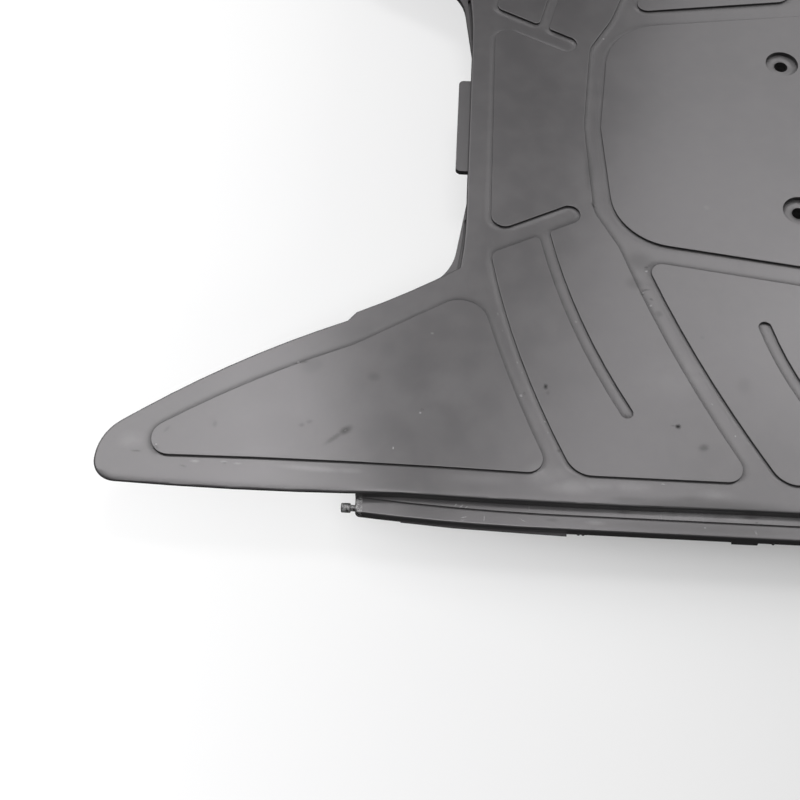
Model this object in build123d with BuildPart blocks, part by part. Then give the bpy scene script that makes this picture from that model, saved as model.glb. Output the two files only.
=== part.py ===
from build123d import *
import os

os.makedirs("parts", exist_ok=True)

# ------------------------------------------------------------------
# Scooter floorboard: one moulded panel.  +X forward, +Y to the left
# side, +Z up.  z = 0 is the plane of the bosses and posts under the
# deck, x = y = 0 is the middle of the panel.  The right half is drawn
# (y < 0) and mirrored.
# ------------------------------------------------------------------

# Driving dimensions, mm
FRONT_X = 200.0  # plain front edge
TIP_X = -200.0  # rear end of the wing
REAR_X = -49.9  # transverse rear edge between the wings
DECK_HALF = 199.6  # deck outer edge from the centre line
SIDE_SWELL = 0.95  # how far the outer edge swells out beside the middle panel
WING_SWELL = 1.45  # and along the wing
FRONT_SWELL = 0.45  # and in the straight run to the front
FLANGE_HALF = 209.8  # side flange outer face from the centre line
DECK_TOP = 20.4  # channel floor level
WALL = 2.5  # moulded wall thickness
ISLAND_H = 1.25  # tread panels stand this far above the channels
ISLAND_R = 0.3  # rounding of the tread panels' top edges
DECK_R = 0.9  # rounding of the deck's top outline
DECK_TAPER = 1.3  # bevel under the deck's outline
BAND_Y = -188.2  # lower edge of the tread panels
BAND_X = 189.0  # front edge of the tread panels
CHANNEL_W = 10.2  # slanting channel near the rear edge
SLOT_W = 5.2  # narrow grooves

LEDGE_TOP = DECK_TOP - 4.2  # first step of the side flange
FACE_TOP = DECK_TOP - 5.2  # second step of the side flange
FLANGE_BOTTOM = DECK_TOP - 9.8
FLANGE_REAR = -90.9  # square rear end of the side flange
FLANGE_WALL = 2.2
STEP_Y = -203.75  # step line along the flange

TONGUE_HALF = 28.7
TONGUE_OUT = 5.7
TONGUE_TOP = DECK_TOP - 1.4

PEG_R = 1.35
PEG_HEAD_R = 2.0
PEG_LEN = 5.8
PEG_NECK = 1.8
PEG_Y = 203.6
PEG_Z = DECK_TOP - 8.2

RIB_T = 1.9  # ribs under the deck
RIB_TOP = DECK_TOP - 0.5  # ribs end inside the deck wall
RIB_BOTTOM = 1.6
SKIRT_BOTTOM = 0.8
WING_RIB_BOTTOM = 12.0
RIB_X = (-16.0, 14.0, 44.0, 74.0, 104.0, 134.0, 164.0)
RIB_Y = (-138.0, -92.0, -46.0, 0.0, 46.0, 92.0, 138.0)
WING_RIB_X = (-70.0, -100.0, -130.0)
POCKET_INSET = 1.9  # underside of a tread panel, in from its outline

SCREW_X = (104.0, 164.0)  # M6 screw positions
SCREW_Y = (-46.0, 46.0)
SCREW_R = 3.3
SEAT_R = 8.0
SEAT_DEPTH = 2.2
BOSS_R = 7.5
POST_X = (-16.0, 164.0)  # cross-shaped stand-off posts
POST_Y = (-138.0, 138.0)
POST_LEN = 15.0
POST_T = 2.6

# ------------------------------------------------------------------
# Plan outlines
# ------------------------------------------------------------------

# Deck outline, right half
with BuildSketch(Plane.XY) as deck_plan:
    with BuildLine():
        wing_edge = ThreePointArc((-184.0, -166.0), (-145.0, -139.95), (-100.2, -116.7))
        run = wing_edge % 0
        reach = (wing_edge @ 0).X - TIP_X
        shoulder = wing_edge @ 0 - run * (reach / run.X)
        Line((FRONT_X, 0), (FRONT_X, -DECK_HALF - FRONT_SWELL))
        Line((FRONT_X, -DECK_HALF - FRONT_SWELL), (70.0, -DECK_HALF - FRONT_SWELL))
        ThreePointArc(
            (70.0, -DECK_HALF - FRONT_SWELL), (0, -DECK_HALF - SIDE_SWELL), (-72.0, -DECK_HALF)
        )
        ThreePointArc((-72.0, -DECK_HALF), (-140.0, -DECK_HALF - WING_SWELL), (TIP_X, -DECK_HALF))
        Line((TIP_X, -DECK_HALF), shoulder)
        Line(shoulder, wing_edge @ 0)
        Line(wing_edge @ 1, (-96.6, -112.0))
        ThreePointArc((-96.6, -112.0), (-77.9, -102.0), (-51.8, -85.5))
        TangentArc((REAR_X, -56.0), (-51.8, -85.5), tangent=(0, -1))
        Line((REAR_X, -56.0), (REAR_X, 0))
        Line((REAR_X, 0), (FRONT_X, 0))
    make_face()
    for corner, radius in [
        ((TIP_X, -DECK_HALF), 10.0),
        ((shoulder.X, shoulder.Y), 22.0),
        ((-100.2, -116.7), 2.2),
        ((-96.6, -112.0), 2.2),
        ((-51.8, -85.5), 1.2),
        ((FRONT_X, -DECK_HALF), 3.0),
    ]:
        fillet(deck_plan.vertices().sort_by_distance(corner)[0], radius)
    mirror(about=Plane.XZ)

# Wing tread panel: a long triangle with rounded corners
with BuildSketch(Plane.XY) as wing_panel:
    with BuildLine():
        ThreePointArc((-195.4, -188.3), (-90.0, -186.9), (-10.9, -188.2))
        ThreePointArc((-10.9, -188.2), (-27.4, -147.6), (-43.2, -96.8))
        Line((-43.2, -96.8), (-97.1, -130.3))
        panel_edge = ThreePointArc((-97.1, -130.3), (-134.9, -148.7), (-174.0, -173.0))
        Line((-174.0, -173.0), (-195.4, -188.3))
    make_face()
    for corner, radius in [
        ((-195.4, -188.3), 8.0),
        ((-10.9, -188.2), 6.5),
        ((-43.2, -96.8), 13.0),
        ((-97.1, -130.3), 50.0),
    ]:
        fillet(wing_panel.vertices().sort_by_distance(corner)[0], radius)
    mirror(about=Plane.XZ)

# Middle tread panel: crosses the centre line behind the big panel and runs
# out to the side, cut by a slanting channel and a narrow curved groove
with BuildLine(Plane.XY) as groove_line:
    ThreePointArc((-15.2, -58.5), (0.3, -114.0), (20.6, -157.7))
with BuildSketch(Plane.XY) as middle_panel:
    with BuildLine():
        Line((5.2, 0), (-38.4, 0))
        Line((-38.4, 0), (-38.4, -76.0))
        ThreePointArc((-38.4, -76.0), (-22.97, -136.4), (-1.6, BAND_Y))
        Line((-1.6, BAND_Y), (72.0, BAND_Y))
        ThreePointArc((72.0, BAND_Y), (41.9, -128.4), (20.2, -71.9))
        Line((20.2, -71.9), (8.9, -51.5))
        Line((8.9, -51.5), (5.2, 0))
    make_face()
    for corner, radius in [
        ((-1.6, BAND_Y), 12.0),
        ((72.0, BAND_Y), 6.5),
        ((20.2, -71.9), 30.0),
        ((8.9, -51.5), 14.0),
    ]:
        fillet(middle_panel.vertices().sort_by_distance(corner)[0], radius)
    with Locations((-2.5, -53.9)):
        Circle(CHANNEL_W / 2, mode=Mode.SUBTRACT)
    with BuildLine():
        Polyline(
            (-4.80, -49.35), (-62.30, -78.40), (-57.70, -87.50), (-0.20, -58.45), close=True
        )
    make_face(mode=Mode.SUBTRACT)
    SlotArc(groove_line.edges()[0], SLOT_W, mode=Mode.SUBTRACT)
    for corner, radius in [
        ((-38.4, -66.3), 6.5),
        ((-38.2, -77.7), 4.5),
        ((-16.6, -66.8), 2.2),
        ((-11.4, -64.1), 2.2),
    ]:
        fillet(middle_panel.vertices().sort_by_distance(corner)[0], radius)
    mirror(about=Plane.XZ)

# Big centre panel, widening towards the front
with BuildSketch(Plane.XY) as centre_panel:
    with BuildLine():
        Polyline(
            (13.2, 0), (18.8, -66.2), (BAND_X, -90.1), (BAND_X, 0), close=True
        )
    make_face()
    for corner, radius in [((18.8, -66.2), 30.0), ((BAND_X, -90.1), 10.0)]:
        fillet(centre_panel.vertices().sort_by_distance(corner)[0], radius)
    mirror(about=Plane.XZ)

# Side tread panel with a groove of its own
with BuildLine(Plane.XY) as side_groove_line:
    ThreePointArc((82.4, -111.5), (91.0, -136.0), (103.5, -159.0))
with BuildSketch(Plane.XY) as side_panel:
    with BuildLine():
        Line((31.4, -78.4), (110.5, -89.9))
        ThreePointArc((110.5, -89.9), (134.0, -141.0), (163.0, BAND_Y))
        Line((163.0, BAND_Y), (83.3, BAND_Y))
        ThreePointArc((83.3, BAND_Y), (55.0, -135.5), (31.4, -78.4))
    make_face()
    for corner, radius in [
        ((31.4, -78.4), 5.0),
        ((110.5, -89.9), 8.0),
        ((163.0, BAND_Y), 6.5),
        ((83.3, BAND_Y), 12.0),
    ]:
        fillet(side_panel.vertices().sort_by_distance(corner)[0], radius)
    SlotArc(side_groove_line.edges()[0], SLOT_W + 0.4, mode=Mode.SUBTRACT)
    mirror(about=Plane.XZ)

# Front tread panel
with BuildSketch(Plane.XY) as front_panel:
    with BuildLine():
        Line((120.8, -91.4), (BAND_X, -101.4))
        Line((BAND_X, -101.4), (BAND_X, BAND_Y))
        Line((BAND_X, BAND_Y), (174.0, BAND_Y))
        ThreePointArc((174.0, BAND_Y), (144.0, -141.5), (120.8, -91.4))
    make_face()
    for corner, radius in [
        ((120.8, -91.4), 5.0),
        ((BAND_X, -101.4), 8.0),
        ((BAND_X, BAND_Y), 8.0),
        ((174.0, BAND_Y), 6.5),
    ]:
        fillet(front_panel.vertices().sort_by_distance(corner)[0], radius)
    mirror(about=Plane.XZ)

panels = [wing_panel, middle_panel, centre_panel, side_panel, front_panel]

# The same outlines brought in, for the hollows under the panels
panel_cores = []
for panel in panels:
    with BuildSketch(Plane.XY) as core:
        offset(panel.sketch.faces(), amount=-POCKET_INSET)
    panel_cores.append(core)

# Side flange outlines, right side: step line, outer face, and the outer
# face brought in by one wall
with BuildSketch(Plane.XY) as ledge_plan:
    with BuildLine():
        Line((FLANGE_REAR, -196.0), (FLANGE_REAR, -200.1))
        ThreePointArc((FLANGE_REAR, -200.1), (-58.0, -202.4), (-14.0, STEP_Y))
        Line((-14.0, STEP_Y), (FRONT_X, STEP_Y))
        Line((FRONT_X, STEP_Y), (FRONT_X, -196.0))
        Line((FRONT_X, -196.0), (FLANGE_REAR, -196.0))
    make_face()
    mirror(about=Plane.XZ)

with BuildSketch(Plane.XY) as flange_plan:
    with BuildLine():
        Line((FLANGE_REAR, -196.0), (FLANGE_REAR, -206.6))
        ThreePointArc((FLANGE_REAR, -206.6), (-60.0, -208.7), (-24.0, -FLANGE_HALF))
        Line((-24.0, -FLANGE_HALF), (FRONT_X, -FLANGE_HALF))
        Line((FRONT_X, -FLANGE_HALF), (FRONT_X, -196.0))
        Line((FRONT_X, -196.0), (FLANGE_REAR, -196.0))
    make_face()
    fillet(flange_plan.vertices().sort_by_distance((FLANGE_REAR, -206.6))[0], 2.0)
    mirror(about=Plane.XZ)

with BuildSketch(Plane.XY) as flange_hollow:
    with BuildLine():
        Line((FLANGE_REAR + 2.0, -190.0), (FLANGE_REAR + 2.0, -204.5))
        ThreePointArc(
            (FLANGE_REAR + 2.0, -204.5), (-60.0, -206.5), (-24.0, FLANGE_WALL - FLANGE_HALF)
        )
        Line((-24.0, FLANGE_WALL - FLANGE_HALF), (FRONT_X - 2.4, FLANGE_WALL - FLANGE_HALF))
        Line((FRONT_X - 2.4, FLANGE_WALL - FLANGE_HALF), (FRONT_X - 2.4, -190.0))
        Line((FRONT_X - 2.4, -190.0), (FLANGE_REAR + 2.0, -190.0))
    make_face()
    mirror(about=Plane.XZ)

# Thin lip along the rear part of the flange's lower edge, growing forward
with BuildSketch(Plane.XY) as lip_plan:
    with BuildLine():
        Polyline(
            (-72.0, -206.5), (-72.0, -208.35), (-50.0, -209.75), (-24.0, -210.45),
            (-4.1, -210.9), (-4.1, -208.2), (-24.0, -208.2), (-50.0, -207.4), close=True,
        )
    make_face()
    mirror(about=Plane.XZ)

# Rounded frame of the underside skirt, and the wing's stiffening frame
with BuildSketch(Plane.XY) as skirt_plan:
    with Locations((75.0, 0)):
        RectangleRounded(226.0, 372.0, 16.0)
        RectangleRounded(226.0 - 2 * RIB_T, 372.0 - 2 * RIB_T, 14.1, mode=Mode.SUBTRACT)

with BuildSketch(Plane.XY) as wing_field:
    with BuildLine():
        Polyline(
            (-37.0, -184.0), (-168.0, -184.0), (-176.0, -178.0), (-100.0, -131.0),
            (-58.0, -106.0), (-37.0, -96.0), close=True,
        )
    make_face()

with BuildSketch(Plane.XY) as wing_frame:
    add(wing_field.sketch)
    offset(wing_field.sketch.faces(), amount=-RIB_T, mode=Mode.SUBTRACT)

with BuildSketch(Plane.XY) as wing_ribs:
    for x in WING_RIB_X:
        with Locations((x, -140.0)):
            Rectangle(RIB_T, 140.0)
    add(wing_field.sketch, mode=Mode.INTERSECT)
    add(wing_frame.sketch)
    mirror(about=Plane.XZ)

# Rounded top rim of the side and front walls, in one with the deck outline
with BuildSketch(Plane.XY) as rim_plan:
    add(deck_plan.sketch)
    offset(deck_plan.sketch.faces(), amount=-2.4, mode=Mode.SUBTRACT)
    with Locations(((FLANGE_REAR + FRONT_X) / 2 + 5.0, 0)):
        Rectangle(FRONT_X - FLANGE_REAR + 10.0, 2 * DECK_HALF + 20.0, mode=Mode.INTERSECT)
    with Locations((-20.0, 0)):
        Rectangle(320.0, 380.0, mode=Mode.SUBTRACT)

# Ledge in the inner corner: outline, and the crease beside the deck edge
with BuildSketch(Plane.XY) as corner_ledge:
    with BuildLine():
        Polyline(
            (-49.6, -46.0), (-55.5, -88.6), (-70.0, -97.4), (-66.0, -104.0),
            (-44.0, -92.0), (-44.0, -46.0), close=True,
        )
    make_face()
    fillet(corner_ledge.vertices().sort_by_distance((-55.5, -88.6))[0], 26.0)
    mirror(about=Plane.XZ)

with BuildSketch(Plane.XY) as corner_crease:
    with BuildLine():
        Polyline(
            (-48.0, -57.0), (-50.4, -57.0), (-51.3, -70.0), (-53.0, -85.0), (-50.0, -86.4),
            close=True,
        )
    make_face()
    mirror(about=Plane.XZ)

# ------------------------------------------------------------------
# The moulding
# ------------------------------------------------------------------
with BuildPart() as floorboard:
    # deck plate with its rounded top outline
    with BuildSketch(Plane.XY.offset(DECK_TOP - WALL)):
        add(deck_plan.sketch)
    extrude(amount=WALL)
    fillet(floorboard.faces().sort_by(Axis.Z)[-1].outer_wire().edges(), DECK_R)
    chamfer(floorboard.faces().sort_by(Axis.Z)[0].outer_wire().edges(), DECK_TAPER)

    # raised tread panels
    with BuildSketch(Plane.XY.offset(DECK_TOP - 0.5)):
        for panel in panels:
            add(panel.sketch)
    extrude(amount=0.5 + ISLAND_H)
    fillet(floorboard.faces().filter_by(Axis.Z).group_by(Axis.Z)[-1].edges(), ISLAND_R)

    # underside of the tread panels, cored out to the moulded wall
    with BuildSketch(Plane.XY.offset(DECK_TOP - WALL)):
        for core in panel_cores:
            add(core.sketch)
    extrude(amount=ISLAND_H, mode=Mode.SUBTRACT)

    # side and front walls, then the stepped flange below the outer edges
    with BuildSketch(Plane.XY.offset(FACE_TOP - 2.4)):
        add(rim_plan.sketch)
    extrude(amount=DECK_TOP - 1.2 - FACE_TOP + 2.4)
    with BuildSketch(Plane.XY.offset(LEDGE_TOP - 2.4)):
        add(ledge_plan.sketch)
    extrude(amount=2.4)
    with BuildSketch(Plane.XY.offset(FLANGE_BOTTOM)):
        add(flange_plan.sketch)
    extrude(amount=FACE_TOP - FLANGE_BOTTOM)
    with BuildSketch(Plane.XY.offset(FLANGE_BOTTOM)):
        add(flange_hollow.sketch)
    extrude(amount=FACE_TOP - 2.4 - FLANGE_BOTTOM, mode=Mode.SUBTRACT)
    with BuildSketch(Plane.XY.offset(FLANGE_BOTTOM)):
        with Locations((FRONT_X - 1.2, 0)):
            Rectangle(2.4, 2 * FLANGE_HALF)
    extrude(amount=FACE_TOP - FLANGE_BOTTOM)
    with BuildSketch(Plane.XY.offset(FLANGE_BOTTOM - 2.0)):
        with Locations((68.5, 1.1 - FLANGE_HALF), (68.5, FLANGE_HALF - 1.1)):
            Rectangle(10.5, 2.2)
    extrude(amount=3.0)
    with BuildSketch(Plane.XY.offset(FLANGE_BOTTOM)):
        add(lip_plan.sketch)
    extrude(amount=0.7)
    with BuildSketch(Plane.XY.offset(FLANGE_BOTTOM - 0.4)):
        for x in (0.8, 2.7, 79.8):
            for side in (-1, 1):
                with Locations((x, side * (FLANGE_HALF - 0.5))):
                    Circle(0.75)
    extrude(amount=1.6)
    flange_rims = floorboard.edges().filter_by(
        lambda e: abs(e.center().Z - FACE_TOP) < 0.01
        and abs(e.center().Y) > 206.0
        and e.center().X < FRONT_X - 0.1
    )
    fillet(flange_rims, 0.8)

    # ledge in each inner corner, one step below the deck, with a crease
    with BuildSketch(Plane.XY.offset(DECK_TOP - 4.8)):
        add(corner_ledge.sketch)
    extrude(amount=2.8)
    with BuildSketch(Plane.XY.offset(DECK_TOP - 3.6)):
        add(corner_crease.sketch)
    extrude(amount=1.6, mode=Mode.SUBTRACT)

    # tongue on the rear edge
    with BuildSketch(Plane.XY.offset(TONGUE_TOP - 2.6)):
        with Locations((REAR_X - TONGUE_OUT / 2 + 3.0, 0)):
            RectangleRounded(TONGUE_OUT + 6.0, 2 * TONGUE_HALF, 2.5)
    extrude(amount=2.6)

    # headed peg on the rear end of each side flange
    with BuildSketch(Plane.YZ.offset(FLANGE_REAR + 1.0)):
        with Locations((-PEG_Y, PEG_Z), (PEG_Y, PEG_Z)):
            Circle(PEG_R)
    extrude(amount=-(PEG_LEN + 0.5))
    with BuildSketch(Plane.YZ.offset(FLANGE_REAR - PEG_NECK)):
        with Locations((-PEG_Y, PEG_Z), (PEG_Y, PEG_Z)):
            Circle(PEG_HEAD_R)
    extrude(amount=-(PEG_LEN - PEG_NECK))
    peg_rims = floorboard.edges().filter_by(GeomType.CIRCLE).filter_by(
        lambda e: abs(e.radius - PEG_HEAD_R) < 0.01 and e.center().X < FLANGE_REAR - 1.0
    )
    fillet(peg_rims, 0.5)

    # skirt, cross ribs and wing ribs under the deck
    with BuildSketch(Plane.XY.offset(SKIRT_BOTTOM)):
        add(skirt_plan.sketch)
    extrude(amount=RIB_TOP - SKIRT_BOTTOM)
    with BuildSketch(Plane.XY.offset(RIB_BOTTOM)):
        for x in RIB_X:
            with Locations((x, 0)):
                Rectangle(RIB_T, 371.0)
        for y in RIB_Y:
            with Locations((75.0, y)):
                Rectangle(225.0, RIB_T)
    extrude(amount=RIB_TOP - RIB_BOTTOM)
    with BuildSketch(Plane.XY.offset(WING_RIB_BOTTOM)):
        add(wing_ribs.sketch)
    extrude(amount=RIB_TOP - WING_RIB_BOTTOM)

    # screw bosses and cross-shaped stand-off posts down to the mounting plane
    with BuildSketch(Plane.XY):
        for x in SCREW_X:
            for y in SCREW_Y:
                with Locations((x, y)):
                    Circle(BOSS_R)
        for x in POST_X:
            for y in POST_Y:
                with Locations((x, y)):
                    Rectangle(POST_LEN, POST_T)
                    Rectangle(POST_T, POST_LEN)
    extrude(amount=RIB_TOP)
    for x in SCREW_X:
        for y in SCREW_Y:
            with Locations((x, y, DECK_TOP + ISLAND_H)):
                CounterBoreHole(
                    radius=SCREW_R,
                    counter_bore_radius=SEAT_R,
                    counter_bore_depth=SEAT_DEPTH,
                    depth=DECK_TOP + ISLAND_H,
                )

floorboard.part.label = "floorboard"
export_step(floorboard.part, "parts/floorboard.step")
print(
    "volume", round(floorboard.part.volume),
    "size", floorboard.part.bounding_box().size,
    "solids", len(floorboard.part.solids()),
)
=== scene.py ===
import math

import bmesh
import bpy
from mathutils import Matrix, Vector

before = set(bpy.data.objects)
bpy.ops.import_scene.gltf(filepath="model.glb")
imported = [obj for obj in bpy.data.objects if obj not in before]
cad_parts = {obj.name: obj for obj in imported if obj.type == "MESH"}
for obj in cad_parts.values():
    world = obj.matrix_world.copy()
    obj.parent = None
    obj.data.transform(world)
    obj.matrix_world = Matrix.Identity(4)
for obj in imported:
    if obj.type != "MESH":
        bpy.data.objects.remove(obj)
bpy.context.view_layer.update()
scene = bpy.context.scene
scene.view_settings.view_transform = "Standard"

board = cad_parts["floorboard"]


# ------------------------------------------------------------------
# Camera: looks down at the right wing from the board's right side
# ------------------------------------------------------------------
cam_data = bpy.data.cameras.new("camera")
cam_data.sensor_width = 36.0
cam_data.lens = 58.5
cam = bpy.data.objects.new("camera", cam_data)
scene.collection.objects.link(cam)
cam.location = (-0.060106, -0.43101, 0.49745)
aim = Vector((-0.075, -0.156, 0.0204))
cam.rotation_euler = (aim - cam.location).to_track_quat("-Z", "Y").to_euler()
scene.camera = cam


# ------------------------------------------------------------------
# Node helpers
# ------------------------------------------------------------------
class Tree:
    def __init__(self, tree):
        self.tree = tree
        self.tree.nodes.clear()

    def add(self, kind, **values):
        node = self.tree.nodes.new(kind)
        for name, value in values.items():
            setattr(node, name, value)
        return node

    def link(self, a, b):
        self.tree.links.new(a, b)

    def put(self, socket, value):
        if isinstance(value, bpy.types.NodeSocket):
            self.link(value, socket)
        else:
            socket.default_value = value

    def math(self, operation, a, b=0.0, clamp=False):
        node = self.add("ShaderNodeMath", operation=operation, use_clamp=clamp)
        self.put(node.inputs[0], a)
        self.put(node.inputs[1], b)
        return node.outputs[0]

    def noise(self, vector, scale, detail=2.0, rough=0.5, distortion=0.0):
        node = self.add("ShaderNodeTexNoise")
        self.put(node.inputs["Vector"], vector)
        node.inputs["Scale"].default_value = scale
        node.inputs["Detail"].default_value = detail
        node.inputs["Roughness"].default_value = rough
        node.inputs["Distortion"].default_value = distortion
        return node

    def ramp(self, value, low, high, to_low=0.0, to_high=1.0, smooth=True):
        node = self.add("ShaderNodeMapRange", interpolation_type="SMOOTHSTEP" if smooth else "LINEAR")
        self.put(node.inputs["Value"], value)
        node.inputs["From Min"].default_value = low
        node.inputs["From Max"].default_value = high
        node.inputs["To Min"].default_value = to_low
        node.inputs["To Max"].default_value = to_high
        return node.outputs["Result"]

    def blob(self, vector, centre, half, turn=0.0, inner=0.25, strength=1.0):
        """strength at centre, falling to 0 at the ellipsoid with these half axes (mm)."""
        node = self.add("ShaderNodeMapping", vector_type="TEXTURE")
        self.put(node.inputs["Vector"], vector)
        node.inputs["Location"].default_value = [v * 0.001 for v in centre]
        node.inputs["Rotation"].default_value = (0.0, 0.0, math.radians(turn))
        node.inputs["Scale"].default_value = [v * 0.001 for v in half]
        length = self.add("ShaderNodeVectorMath", operation="LENGTH")
        self.link(node.outputs[0], length.inputs[0])
        return self.ramp(length.outputs["Value"], inner, 1.0, strength, 0.0)

    def marks(self, vector, rows, inner, after=None):
        """The strongest of many blobs: x, y, half x, half y, turn, strength and, if off the deck, z.

        A list that comes after another is shifted by a micron where that one is, so the two are
        worked out one after the other and the shader stays small enough for its stack.
        """
        out = None
        if after is not None:
            shift = self.add("ShaderNodeVectorMath", operation="MULTIPLY_ADD")
            self.link(after, shift.inputs[0])
            shift.inputs[1].default_value = (1e-6, 1e-6, 1e-6)
            self.link(vector, shift.inputs[2])
            vector = shift.outputs[0]
        for row in rows:
            x, y, hx, hy, turn, strength = row[:6]
            z, hz = (row[6], 2.2) if len(row) > 6 else (21.0, 4.0)
            one = self.blob(vector, (x, y, z), (hx, hy, hz), turn, inner, strength)
            out = one if out is None else self.math("MAXIMUM", out, one)
        return out

    def mix(self, factor, a, b, blend="MIX"):
        node = self.add("ShaderNodeMix", data_type="RGBA", blend_type=blend)
        self.put(node.inputs["Factor"], factor)
        self.put(node.inputs["A"], a)
        self.put(node.inputs["B"], b)
        return node.outputs["Result"]


# ------------------------------------------------------------------
# Marks of use on the deck, millimetres
# ------------------------------------------------------------------
# dark, dull: x, y, half x, half y, turn, strength
STAINS = [
    (-96.6, -172.2, 4.8, 2.6, 38.0, 0.58),
    (-100.8, -175.8, 7.5, 1.7, 41.0, 0.44),
    (42.1, -162.9, 1.75, 1.6, 0.0, 1.0),
    (40.0, -162.6, 1.6, 0.5, 0.0, 0.45),
    (52.2, -172.4, 3.2, 2.4, 25.0, 0.50),
    (-13.1, -146.4, 1.2, 2.0, 0.0, 1.0),
    (-12.2, -149.6, 1.2, 1.6, 0.0, 0.25),
    (9.0, -47.2, 1.2, 1.8, 20.0, 1.0),
    (32.3, -80.8, 1.2, 0.9, 0.0, 0.7),
    (29.5, -95.9, 1.1, 1.2, 0.0, 0.8),
    (31.3, -93.3, 3.2, 0.7, 8.0, 0.55),
    (33.8, -98.2, 1.6, 0.8, -30.0, 0.45),
    (36.8, -105.8, 2.6, 2.6, 0.0, 0.28),
    (-86.3, -145.6, 4.4, 3.4, 0.0, 0.26),
    (-115.0, -170.6, 1.9, 1.5, 0.0, 0.30),
    (-111.8, -168.9, 2.2, 1.3, 20.0, 0.26),
    (-151.2, -172.0, 1.5, 2.3, 0.0, 0.28),
    (-182.6, -185.8, 3.0, 0.6, 0.0, 0.50),
    (-175.2, -184.2, 0.7, 0.7, 0.0, 0.8),
    (-173.9, -184.3, 0.6, 0.7, 0.0, 0.8),
    (-171.0, -175.6, 3.0, 1.0, 55.0, 0.24),
    (-162.2, -191.7, 2.2, 0.6, -12.0, 0.40),
    (-145.2, -189.4, 1.2, 0.6, 0.0, 0.5),
    (-65.0, -160.5, 0.9, 0.7, 0.0, 0.7),
    (-22.1, -149.6, 0.7, 0.8, 0.0, 0.6),
    (-7.5, -176.3, 1.5, 1.2, 0.0, 0.45),
    (-116.5, -139.9, 3.2, 0.8, 20.0, 0.45),
    (54.9, -118.0, 1.6, 1.3, 0.0, 0.16),
    (71.2, -141.4, 5.0, 6.0, 0.0, 0.12),
    (46.0, -197.0, 15.0, 3.6, 0.0, 0.34),
    (22.0, -197.6, 14.0, 2.6, 0.0, 0.26),
    (69.8, -200.9, 5.0, 1.2, 0.0, 0.40, 16.2),
    (19.2, -201.2, 5.0, 1.0, 0.0, 0.22, 16.2),
    (72.7, -202.9, 1.0, 0.6, 20.0, 0.6, 15.5),
    (74.6, -203.3, 0.6, 0.6, 0.0, 0.5, 15.5),
    (-10.0, -205.6, 4.0, 1.2, 0.0, 0.22, 15.2),
    (29.8, -77.7, 10.0, 7.5, -20.0, 0.26),
    (52.0, -199.0, 50.0, 5.2, 0.0, 0.40),
    (48.0, -206.3, 62.0, 4.0, 0.0, 0.26, 15.2),
    (26.6, -90.6, 6.0, 5.0, 0.0, 0.24),
    (7.8, -26.0, 3.6, 17.0, 0.0, 0.30),
    (-113.2, -140.9, 8.0, 6.0, 20.0, 0.15),
]

# pale specks of dust and worn-through points
SPECKS = [
    (-65.8, -162.1, 1.0, 0.7, 0.0, 0.40),
    (-76.2, -179.4, 0.6, 1.1, 0.0, 0.55),
    (-62.4, -122.2, 1.1, 0.8, 0.0, 0.28),
    (-23.5, -150.8, 0.8, 1.0, 0.0, 0.55),
    (32.2, -83.0, 1.0, 0.8, 0.0, 0.55),
    (30.3, -94.9, 0.8, 0.5, 30.0, 0.5),
    (33.5, -101.6, 1.2, 0.9, 40.0, 0.30),
    (-119.4, -139.4, 0.8, 0.7, 0.0, 0.8),
    (-174.4, -182.9, 0.8, 0.6, 0.0, 0.6),
    (-34.0, -109.6, 0.5, 1.2, 10.0, 0.20),
    (-31.7, -118.2, 0.5, 0.8, 10.0, 0.16),
    (-25.2, -134.3, 0.5, 0.9, 20.0, 0.24),
    (-23.2, -139.3, 0.5, 0.7, 20.0, 0.14),
    (-15.9, -153.7, 0.5, 0.8, 20.0, 0.22),
    (-13.4, -162.8, 0.5, 1.0, 20.0, 0.24),
    (-12.0, -168.0, 0.4, 0.7, 20.0, 0.18),
    (34.8, -189.4, 1.9, 0.5, -2.0, 0.35),
    (0.4, -112.0, 0.7, 0.9, 0.0, 0.25),
    (57.3, -150.6, 0.6, 0.8, 20.0, 0.22),
    (66.0, -165.5, 0.6, 0.7, 20.0, 0.22),
    (-49.3, -201.4, 1.2, 0.5, 35.0, 0.40, 16.2),
    (-47.0, -201.8, 1.4, 0.4, 35.0, 0.45, 16.2),
    (-44.9, -202.0, 1.2, 0.4, 35.0, 0.35, 16.2),
    (-45.9, -206.3, 2.2, 0.4, 8.0, 0.32, 15.2),
    (-46.3, -207.6, 1.8, 0.35, 8.0, 0.28, 15.2),
    (-37.6, -206.4, 0.4, 2.4, 0.0, 0.32, 15.2),
    (-21.8, -206.4, 3.0, 0.35, -25.0, 0.28, 15.2),
    (-19.4, -201.1, 0.35, 1.8, 0.0, 0.28, 16.2),
    (34.2, -201.7, 0.35, 1.8, 0.0, 0.30, 16.2),
    (51.9, -205.7, 0.8, 0.6, 0.0, 0.30, 15.2),
    (72.4, -206.9, 0.8, 1.6, 15.0, 0.30, 15.2),
]

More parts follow.
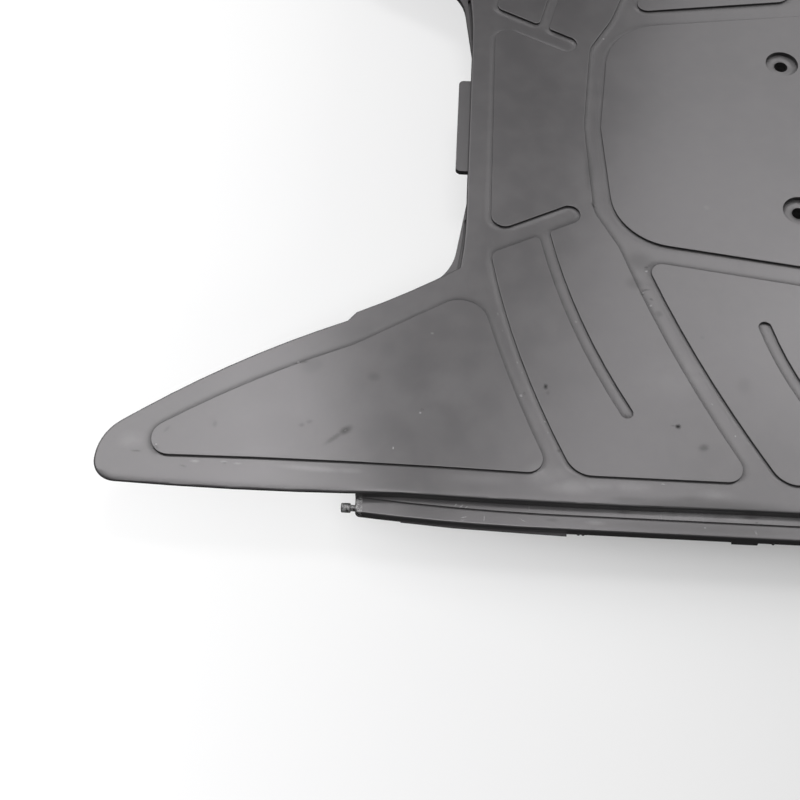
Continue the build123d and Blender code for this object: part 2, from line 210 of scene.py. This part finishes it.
# broad films of pale dust
FILMS = [
    (-185.4, -180.6, 8.0, 6.0, 0.0, 0.40),
    (-157.6, -189.2, 3.0, 1.1, 0.0, 0.5),
    (-145.6, -188.9, 2.2, 0.8, 0.0, 0.5),
    (-140.0, -189.4, 2.6, 0.8, 0.0, 0.4),
    (-109.0, -190.0, 19.0, 2.0, -2.0, 0.48),
    (-94.0, -190.2, 8.0, 1.8, 0.0, 0.42),
    (-40.0, -191.0, 17.0, 4.0, 0.0, 0.22),
    (-13.0, -188.0, 12.0, 8.0, 0.0, 0.42),
    (48.0, -201.1, 80.0, 2.8, 0.0, 0.85, 16.2),
    (-4.0, -192.8, 17.0, 5.0, 0.0, 0.48),
    (8.0, -191.8, 12.0, 3.6, 0.0, 0.40),
    (22.0, -191.6, 13.0, 3.4, 0.0, 0.38),
    (56.0, -193.0, 10.0, 3.2, 0.0, 0.28),
    (61.2, -46.2, 2.2, 2.2, 0.0, 0.15),
    (7.5, -205.9, 6.0, 1.6, 0.0, 0.4, 15.2),
    (-60.0, -152.0, 30.0, 22.0, 20.0, 0.12),
    (40.0, -140.0, 22.0, 16.0, 0.0, 0.16),
]


# ------------------------------------------------------------------
# Moulded black plastic
# ------------------------------------------------------------------
def plastic():
    material = bpy.data.materials.new("moulded_plastic")
    material.use_nodes = True
    t = Tree(material.node_tree)
    out = t.add("ShaderNodeOutputMaterial")
    shader = t.add("ShaderNodeBsdfPrincipled")
    t.link(shader.outputs[0], out.inputs["Surface"])
    at = t.add("ShaderNodeTexCoord").outputs["Object"]

    cloud = t.noise(at, 19.0, 4.0, 0.55).outputs["Fac"]
    patch = t.noise(at, 75.0, 3.0, 0.55).outputs["Fac"]
    grain = t.noise(at, 430.0, 2.0, 0.6).outputs["Fac"]

    # marks with ragged outlines
    wander = t.add("ShaderNodeVectorMath", operation="MULTIPLY_ADD")
    t.link(t.noise(at, 1100.0, 1.0).outputs["Color"], wander.inputs[0])
    wander.inputs[1].default_value = (0.0007, 0.0007, 0.0007)
    t.link(at, wander.inputs[2])
    ragged = wander.outputs[0]
    stain_and_painted_shade = t.marks(ragged, STAINS, 0.2)
    speck = t.marks(ragged, SPECKS, 0.15, after=stain_and_painted_shade)
    film = t.marks(ragged, FILMS, 0.05, after=speck)
    film = t.math("MULTIPLY", film, t.ramp(patch, 0.25, 0.65, 0.45, 1.0))

    # the square rear ends of the side flanges and their pegs are rubbed grey
    xyz = t.add("ShaderNodeSeparateXYZ")
    t.link(at, xyz.inputs[0])
    rear = t.math(
        "MULTIPLY",
        t.ramp(xyz.outputs["X"], -0.0889, -0.0874, 1.0, 0.0),
        t.ramp(xyz.outputs["Z"], 0.0160, 0.0172, 1.0, 0.0),
    )
    rubbed = t.math("MULTIPLY", rear, t.ramp(t.noise(at, 850.0, 2.0, 0.6).outputs["Fac"], 0.42, 0.60))

    # scattered dust on the half that carries no marks of its own
    cell = t.add("ShaderNodeTexVoronoi")
    t.link(at, cell.inputs["Vector"])
    cell.inputs["Scale"].default_value = 24.0
    dust = t.math(
        "MULTIPLY",
        t.ramp(cell.outputs["Distance"], 0.008, 0.017, 0.55, 0.0),
        t.ramp(xyz.outputs["Y"], -0.02, 0.02),
    )
    speck = t.math("MAXIMUM", speck, dust)

    # the channels between the tread panels are slightly dished; painted shade darkens and dulls the feet
    # of the walls that face the front and the middle, and the low walls themselves; the deck's outer rim
    # rounds off
    facing = t.add("ShaderNodeSeparateXYZ")
    t.link(t.add("ShaderNodeNewGeometry").outputs["True Normal"], facing.inputs[0])
    floors = t.math(
        "MULTIPLY",
        t.ramp(facing.outputs["Z"], 0.96, 0.98),
        t.ramp(xyz.outputs["Z"], 0.02045, 0.0206, 1.0, 0.0),
    )
    floors = t.math("MULTIPLY", floors, t.ramp(xyz.outputs["Z"], 0.0190, 0.0198))
    # on the wing only the side of the rim that is next to the tread panel
    half = t.math("SIGN", xyz.outputs["Y"], 0.0)
    breadth = t.math("MULTIPLY", half, xyz.outputs["Y"])
    slant = t.math("ADD", breadth, t.math("MULTIPLY", xyz.outputs["X"], 0.6))
    wing = t.math("MULTIPLY", t.ramp(slant, 0.0607, 0.0637, 0.0, 0.8), t.ramp(xyz.outputs["X"], -0.189, -0.185))
    beside = t.math("MAXIMUM", wing, t.ramp(xyz.outputs["X"], -0.046, -0.040))
    channel = t.math("MULTIPLY", floors, beside)
    channel = t.math("MULTIPLY", channel, t.ramp(breadth, 0.186, 0.190, 1.0, 0.0))
    channel = t.math("MULTIPLY", channel, t.ramp(xyz.outputs["X"], 0.190, 0.194, 1.0, 0.0))
    rim = t.math("MULTIPLY", floors, t.ramp(breadth, 0.1945, 0.1965, 0.0, 0.5))
    rim = t.math("MULTIPLY", rim, t.ramp(xyz.outputs["X"], -0.10, -0.065, 1.0, 0.2))
    dish = t.add("ShaderNodeBevel", samples=6)
    dish.inputs["Radius"].default_value = 0.0045
    lean = t.add("ShaderNodeSeparateXYZ")
    t.link(dish.outputs[0], lean.inputs[0])
    outward = t.math("MULTIPLY", half, lean.outputs["Y"])
    level = t.add("ShaderNodeCombineXYZ")
    t.link(lean.outputs["X"], level.inputs["X"])
    t.link(t.math("MULTIPLY", half, t.math("MINIMUM", outward, 0.0)), level.inputs["Y"])
    t.link(lean.outputs["Z"], level.inputs["Z"])
    # painted shade: the channel floor is darker and duller at the feet of the walls facing the front and the middle
    painted_foot_shade = t.ramp(t.math("SUBTRACT", lean.outputs["X"], outward), 0.01, 0.24, 0.0, 0.42, smooth=False)
    stain_and_painted_shade = t.math("MAXIMUM", stain_and_painted_shade, t.math("MULTIPLY", painted_foot_shade, channel))
    # painted shade: the steep low walls are darkened and dulled
    painted_wall_shade = t.math("MULTIPLY", t.ramp(facing.outputs["Z"], 0.3, 0.7, 0.45, 0.0), t.ramp(xyz.outputs["Z"], 0.0161, 0.0166))
    stain_and_painted_shade = t.math("MAXIMUM", stain_and_painted_shade, painted_wall_shade)

    base = t.mix(t.ramp(cloud, 0.3, 0.7), (0.0405, 0.039, 0.0405, 1.0), (0.0445, 0.043, 0.0442, 1.0))
    base = t.mix(t.ramp(patch, 0.35, 0.75, 0.0, 0.3), base, (0.056, 0.054, 0.0545, 1.0))
    base = t.mix(film, base, (0.125, 0.122, 0.124, 1.0))
    # the stain marks, together with the painted shade on the wall feet and low walls, darken the base colour
    base = t.mix(stain_and_painted_shade, base, (0.012, 0.012, 0.012, 1.0))
    base = t.mix(rubbed, base, (0.20, 0.20, 0.20, 1.0))
    base = t.mix(speck, base, (0.14, 0.14, 0.142, 1.0))
    t.link(base, shader.inputs["Base Color"])

    gloss = t.mix(stain_and_painted_shade, (1.0, 0.965, 0.99, 1.0), (0.10, 0.10, 0.10, 1.0))
    gloss = t.mix(t.ramp(cloud, 0.62, 0.38, 0.0, 0.2), gloss, (0.95, 0.95, 0.93, 1.0))
    t.link(gloss, shader.inputs["Specular Tint"])

    rough = t.math("ADD", t.ramp(cloud, 0.3, 0.7, 0.200, 0.218), t.ramp(patch, 0.3, 0.7, -0.01, 0.01))
    rough = t.math("ADD", rough, t.math("MAXIMUM", t.ramp(stain_and_painted_shade, 0.45, 0.9, 0.0, 0.4), t.math("MULTIPLY", speck, 0.25)))
    rough = t.math("ADD", rough, t.math("MULTIPLY", rubbed, 0.35))
    t.link(rough, shader.inputs["Roughness"])
    shader.inputs["IOR"].default_value = 1.5
    shader.inputs["Specular IOR Level"].default_value = 0.6

    wave = t.add("ShaderNodeBump")
    wave.inputs["Strength"].default_value = 1.0
    wave.inputs["Distance"].default_value = 0.00007
    t.link(t.noise(at, 16.0, 2.0, 0.4).outputs["Fac"], wave.inputs["Height"])
    fine = t.add("ShaderNodeBump")
    fine.inputs["Strength"].default_value = 1.0
    fine.inputs["Distance"].default_value = 0.000010
    t.link(grain, fine.inputs["Height"])
    t.link(wave.outputs[0], fine.inputs["Normal"])

    normal = t.add("ShaderNodeMix", data_type="VECTOR")
    t.link(channel, normal.inputs[0])
    t.link(fine.outputs[0], normal.inputs[4])
    t.link(level.outputs[0], normal.inputs[5])
    rounded = t.add("ShaderNodeMix", data_type="VECTOR")
    t.link(rim, rounded.inputs[0])
    t.link(normal.outputs[1], rounded.inputs[4])
    t.link(dish.outputs[0], rounded.inputs[5])
    t.link(rounded.outputs[1], shader.inputs["Normal"])
    return material


board.data.materials.clear()
board.data.materials.append(plastic())


# ------------------------------------------------------------------
# Floor and light
# ------------------------------------------------------------------
def floor_material():
    """White paper. To light bouncing onto the board it is painted dark grey, so it gives little light back to the
    board: painted shade on the board's walls and reflections.
    """
    material = bpy.data.materials.new("pale_floor")
    material.use_nodes = True
    t = Tree(material.node_tree)
    out = t.add("ShaderNodeOutputMaterial")
    seen = t.add("ShaderNodeBsdfDiffuse")
    painted_dim_bounce = t.add("ShaderNodeBsdfDiffuse")
    at = t.add("ShaderNodeTexCoord").outputs["Object"]
    haze = t.noise(at, 3.0, 2.0).outputs["Fac"]
    t.link(
        t.mix(t.ramp(haze, 0.3, 0.7), (0.90, 0.90, 0.905, 1.0), (0.92, 0.92, 0.92, 1.0)),
        seen.inputs["Color"],
    )
    # painted shade: the floor shows dark grey to light that bounces onto the board
    painted_dim_bounce.inputs["Color"].default_value = (0.09, 0.09, 0.09, 1.0)
    choose = t.add("ShaderNodeMixShader")
    t.link(t.add("ShaderNodeLightPath").outputs["Is Camera Ray"], choose.inputs["Fac"])
    t.link(painted_dim_bounce.outputs[0], choose.inputs[1])
    t.link(seen.outputs[0], choose.inputs[2])
    t.link(choose.outputs[0], out.inputs["Surface"])
    return material


mesh = bpy.data.meshes.new("floor")
bm = bmesh.new()
bmesh.ops.create_grid(bm, x_segments=8, y_segments=8, size=6.0)
bm.to_mesh(mesh)
bm.free()
floor = bpy.data.objects.new("floor", mesh)
scene.collection.objects.link(floor)
floor.location = (0.0, 0.0, -0.0003)
floor.data.materials.append(floor_material())
floor_only = bpy.data.collections.new("floor_only")
floor_only.objects.link(floor)
board_only = bpy.data.collections.new("board_only")
board_only.objects.link(board)

# dim room, white where the picture looks past the floor
world = bpy.data.worlds.new("studio")
scene.world = world
world.use_nodes = True
w = Tree(world.node_tree)
sky = w.add("ShaderNodeBackground")
sky.inputs["Color"].default_value = (1.0, 1.0, 1.0, 1.0)
w.link(
    w.ramp(w.add("ShaderNodeLightPath").outputs["Is Camera Ray"], 0.0, 1.0, 0.06, 1.0),
    sky.inputs["Strength"],
)
w.link(sky.outputs[0], w.add("ShaderNodeOutputWorld").inputs["Surface"])

MIDDLE = Vector((-0.05, -0.12, 0.02))
DISTANCE = 2.2


def softbox(name, azimuth, elevation, width, height, radiance, receivers):
    """A panel facing the board. All angles in degrees, azimuth from +Y towards +X."""
    a, e = math.radians(azimuth), math.radians(elevation)
    data = bpy.data.lights.new(name, "AREA")
    data.shape = "RECTANGLE"
    data.size = 2 * DISTANCE * math.tan(math.radians(width / 2))
    data.size_y = 2 * DISTANCE * math.tan(math.radians(height / 2))
    data.energy = radiance * math.pi * data.size * data.size_y
    light = bpy.data.objects.new(name, data)
    scene.collection.objects.link(light)
    light.location = MIDDLE + DISTANCE * Vector(
        (math.sin(a) * math.cos(e), math.cos(a) * math.cos(e), math.sin(e))
    )
    light.rotation_euler = (MIDDLE - light.location).to_track_quat("-Z", "Y").to_euler()
    light.visible_camera = False
    light.light_linking.receiver_collection = receivers
    return light


# Soft panels round and above the board. Middle and span of the columns' azimuths and of the rows'
# elevations, and each panel's radiance: bright on the left, a narrow dark gap, softer on the right.
COLUMNS = [(-90, 30), (-62, 26), (-38, 22), (-19, 16), (-5, 12), (7, 12), (21, 16), (40, 22), (64, 26), (92, 30)]
ROWS = [(76, 16), (62, 12), (50, 12), (38, 12), (24, 16)]
RADIANCE = [
    [2.07, 2.59, 2.92, 3.02, 2.02, 3.61, 4.91, 3.33, 2.07, 1.60],
    [2.15, 3.40, 5.35, 7.17, 0.00, 1.67, 3.66, 2.89, 1.96, 2.00],
    [1.67, 2.76, 4.66, 3.41, 2.24, 0.50, 3.46, 4.85, 2.20, 2.40],
    [0.89, 1.43, 2.01, 1.47, 0.49, 0.00, 2.20, 2.30, 2.20, 2.40],
    [0.38, 0.67, 0.91, 0.64, 0.15, 0.00, 1.10, 1.50, 1.80, 1.80],
]
for (elevation, height), line in zip(ROWS, RADIANCE):
    for (azimuth, span), radiance in zip(COLUMNS, line):
        if radiance > 0.0:
            across = math.atan(math.tan(math.radians(span / 2)) * math.cos(math.radians(elevation)))
            softbox(
                f"panel_{elevation}_{azimuth}",
                azimuth,
                elevation,
                2 * math.degrees(across),
                height,
                radiance,
                board_only,
            )

# name, azimuth, elevation, width, height, radiance
softbox("overhead", 180.0, 72.0, 40.0, 26.0, 3.0, board_only)
softbox("front_fill", 180.0, 38.0, 60.0, 20.0, 0.3, board_only)
softbox("top", 0.0, 90.0, 18.0, 18.0, 4.5, board_only)
softbox("floor_left", -90.0, 6.0, 30.0, 8.0, 240.0, floor_only)
softbox("floor_near", -120.0, 14.0, 30.0, 8.0, 36.0, floor_only)
softbox("floor_far", 0.0, 48.0, 28.0, 12.0, 2.9, floor_only)
softbox("floor_right", 100.0, 12.0, 28.0, 10.0, 6.0, floor_only)
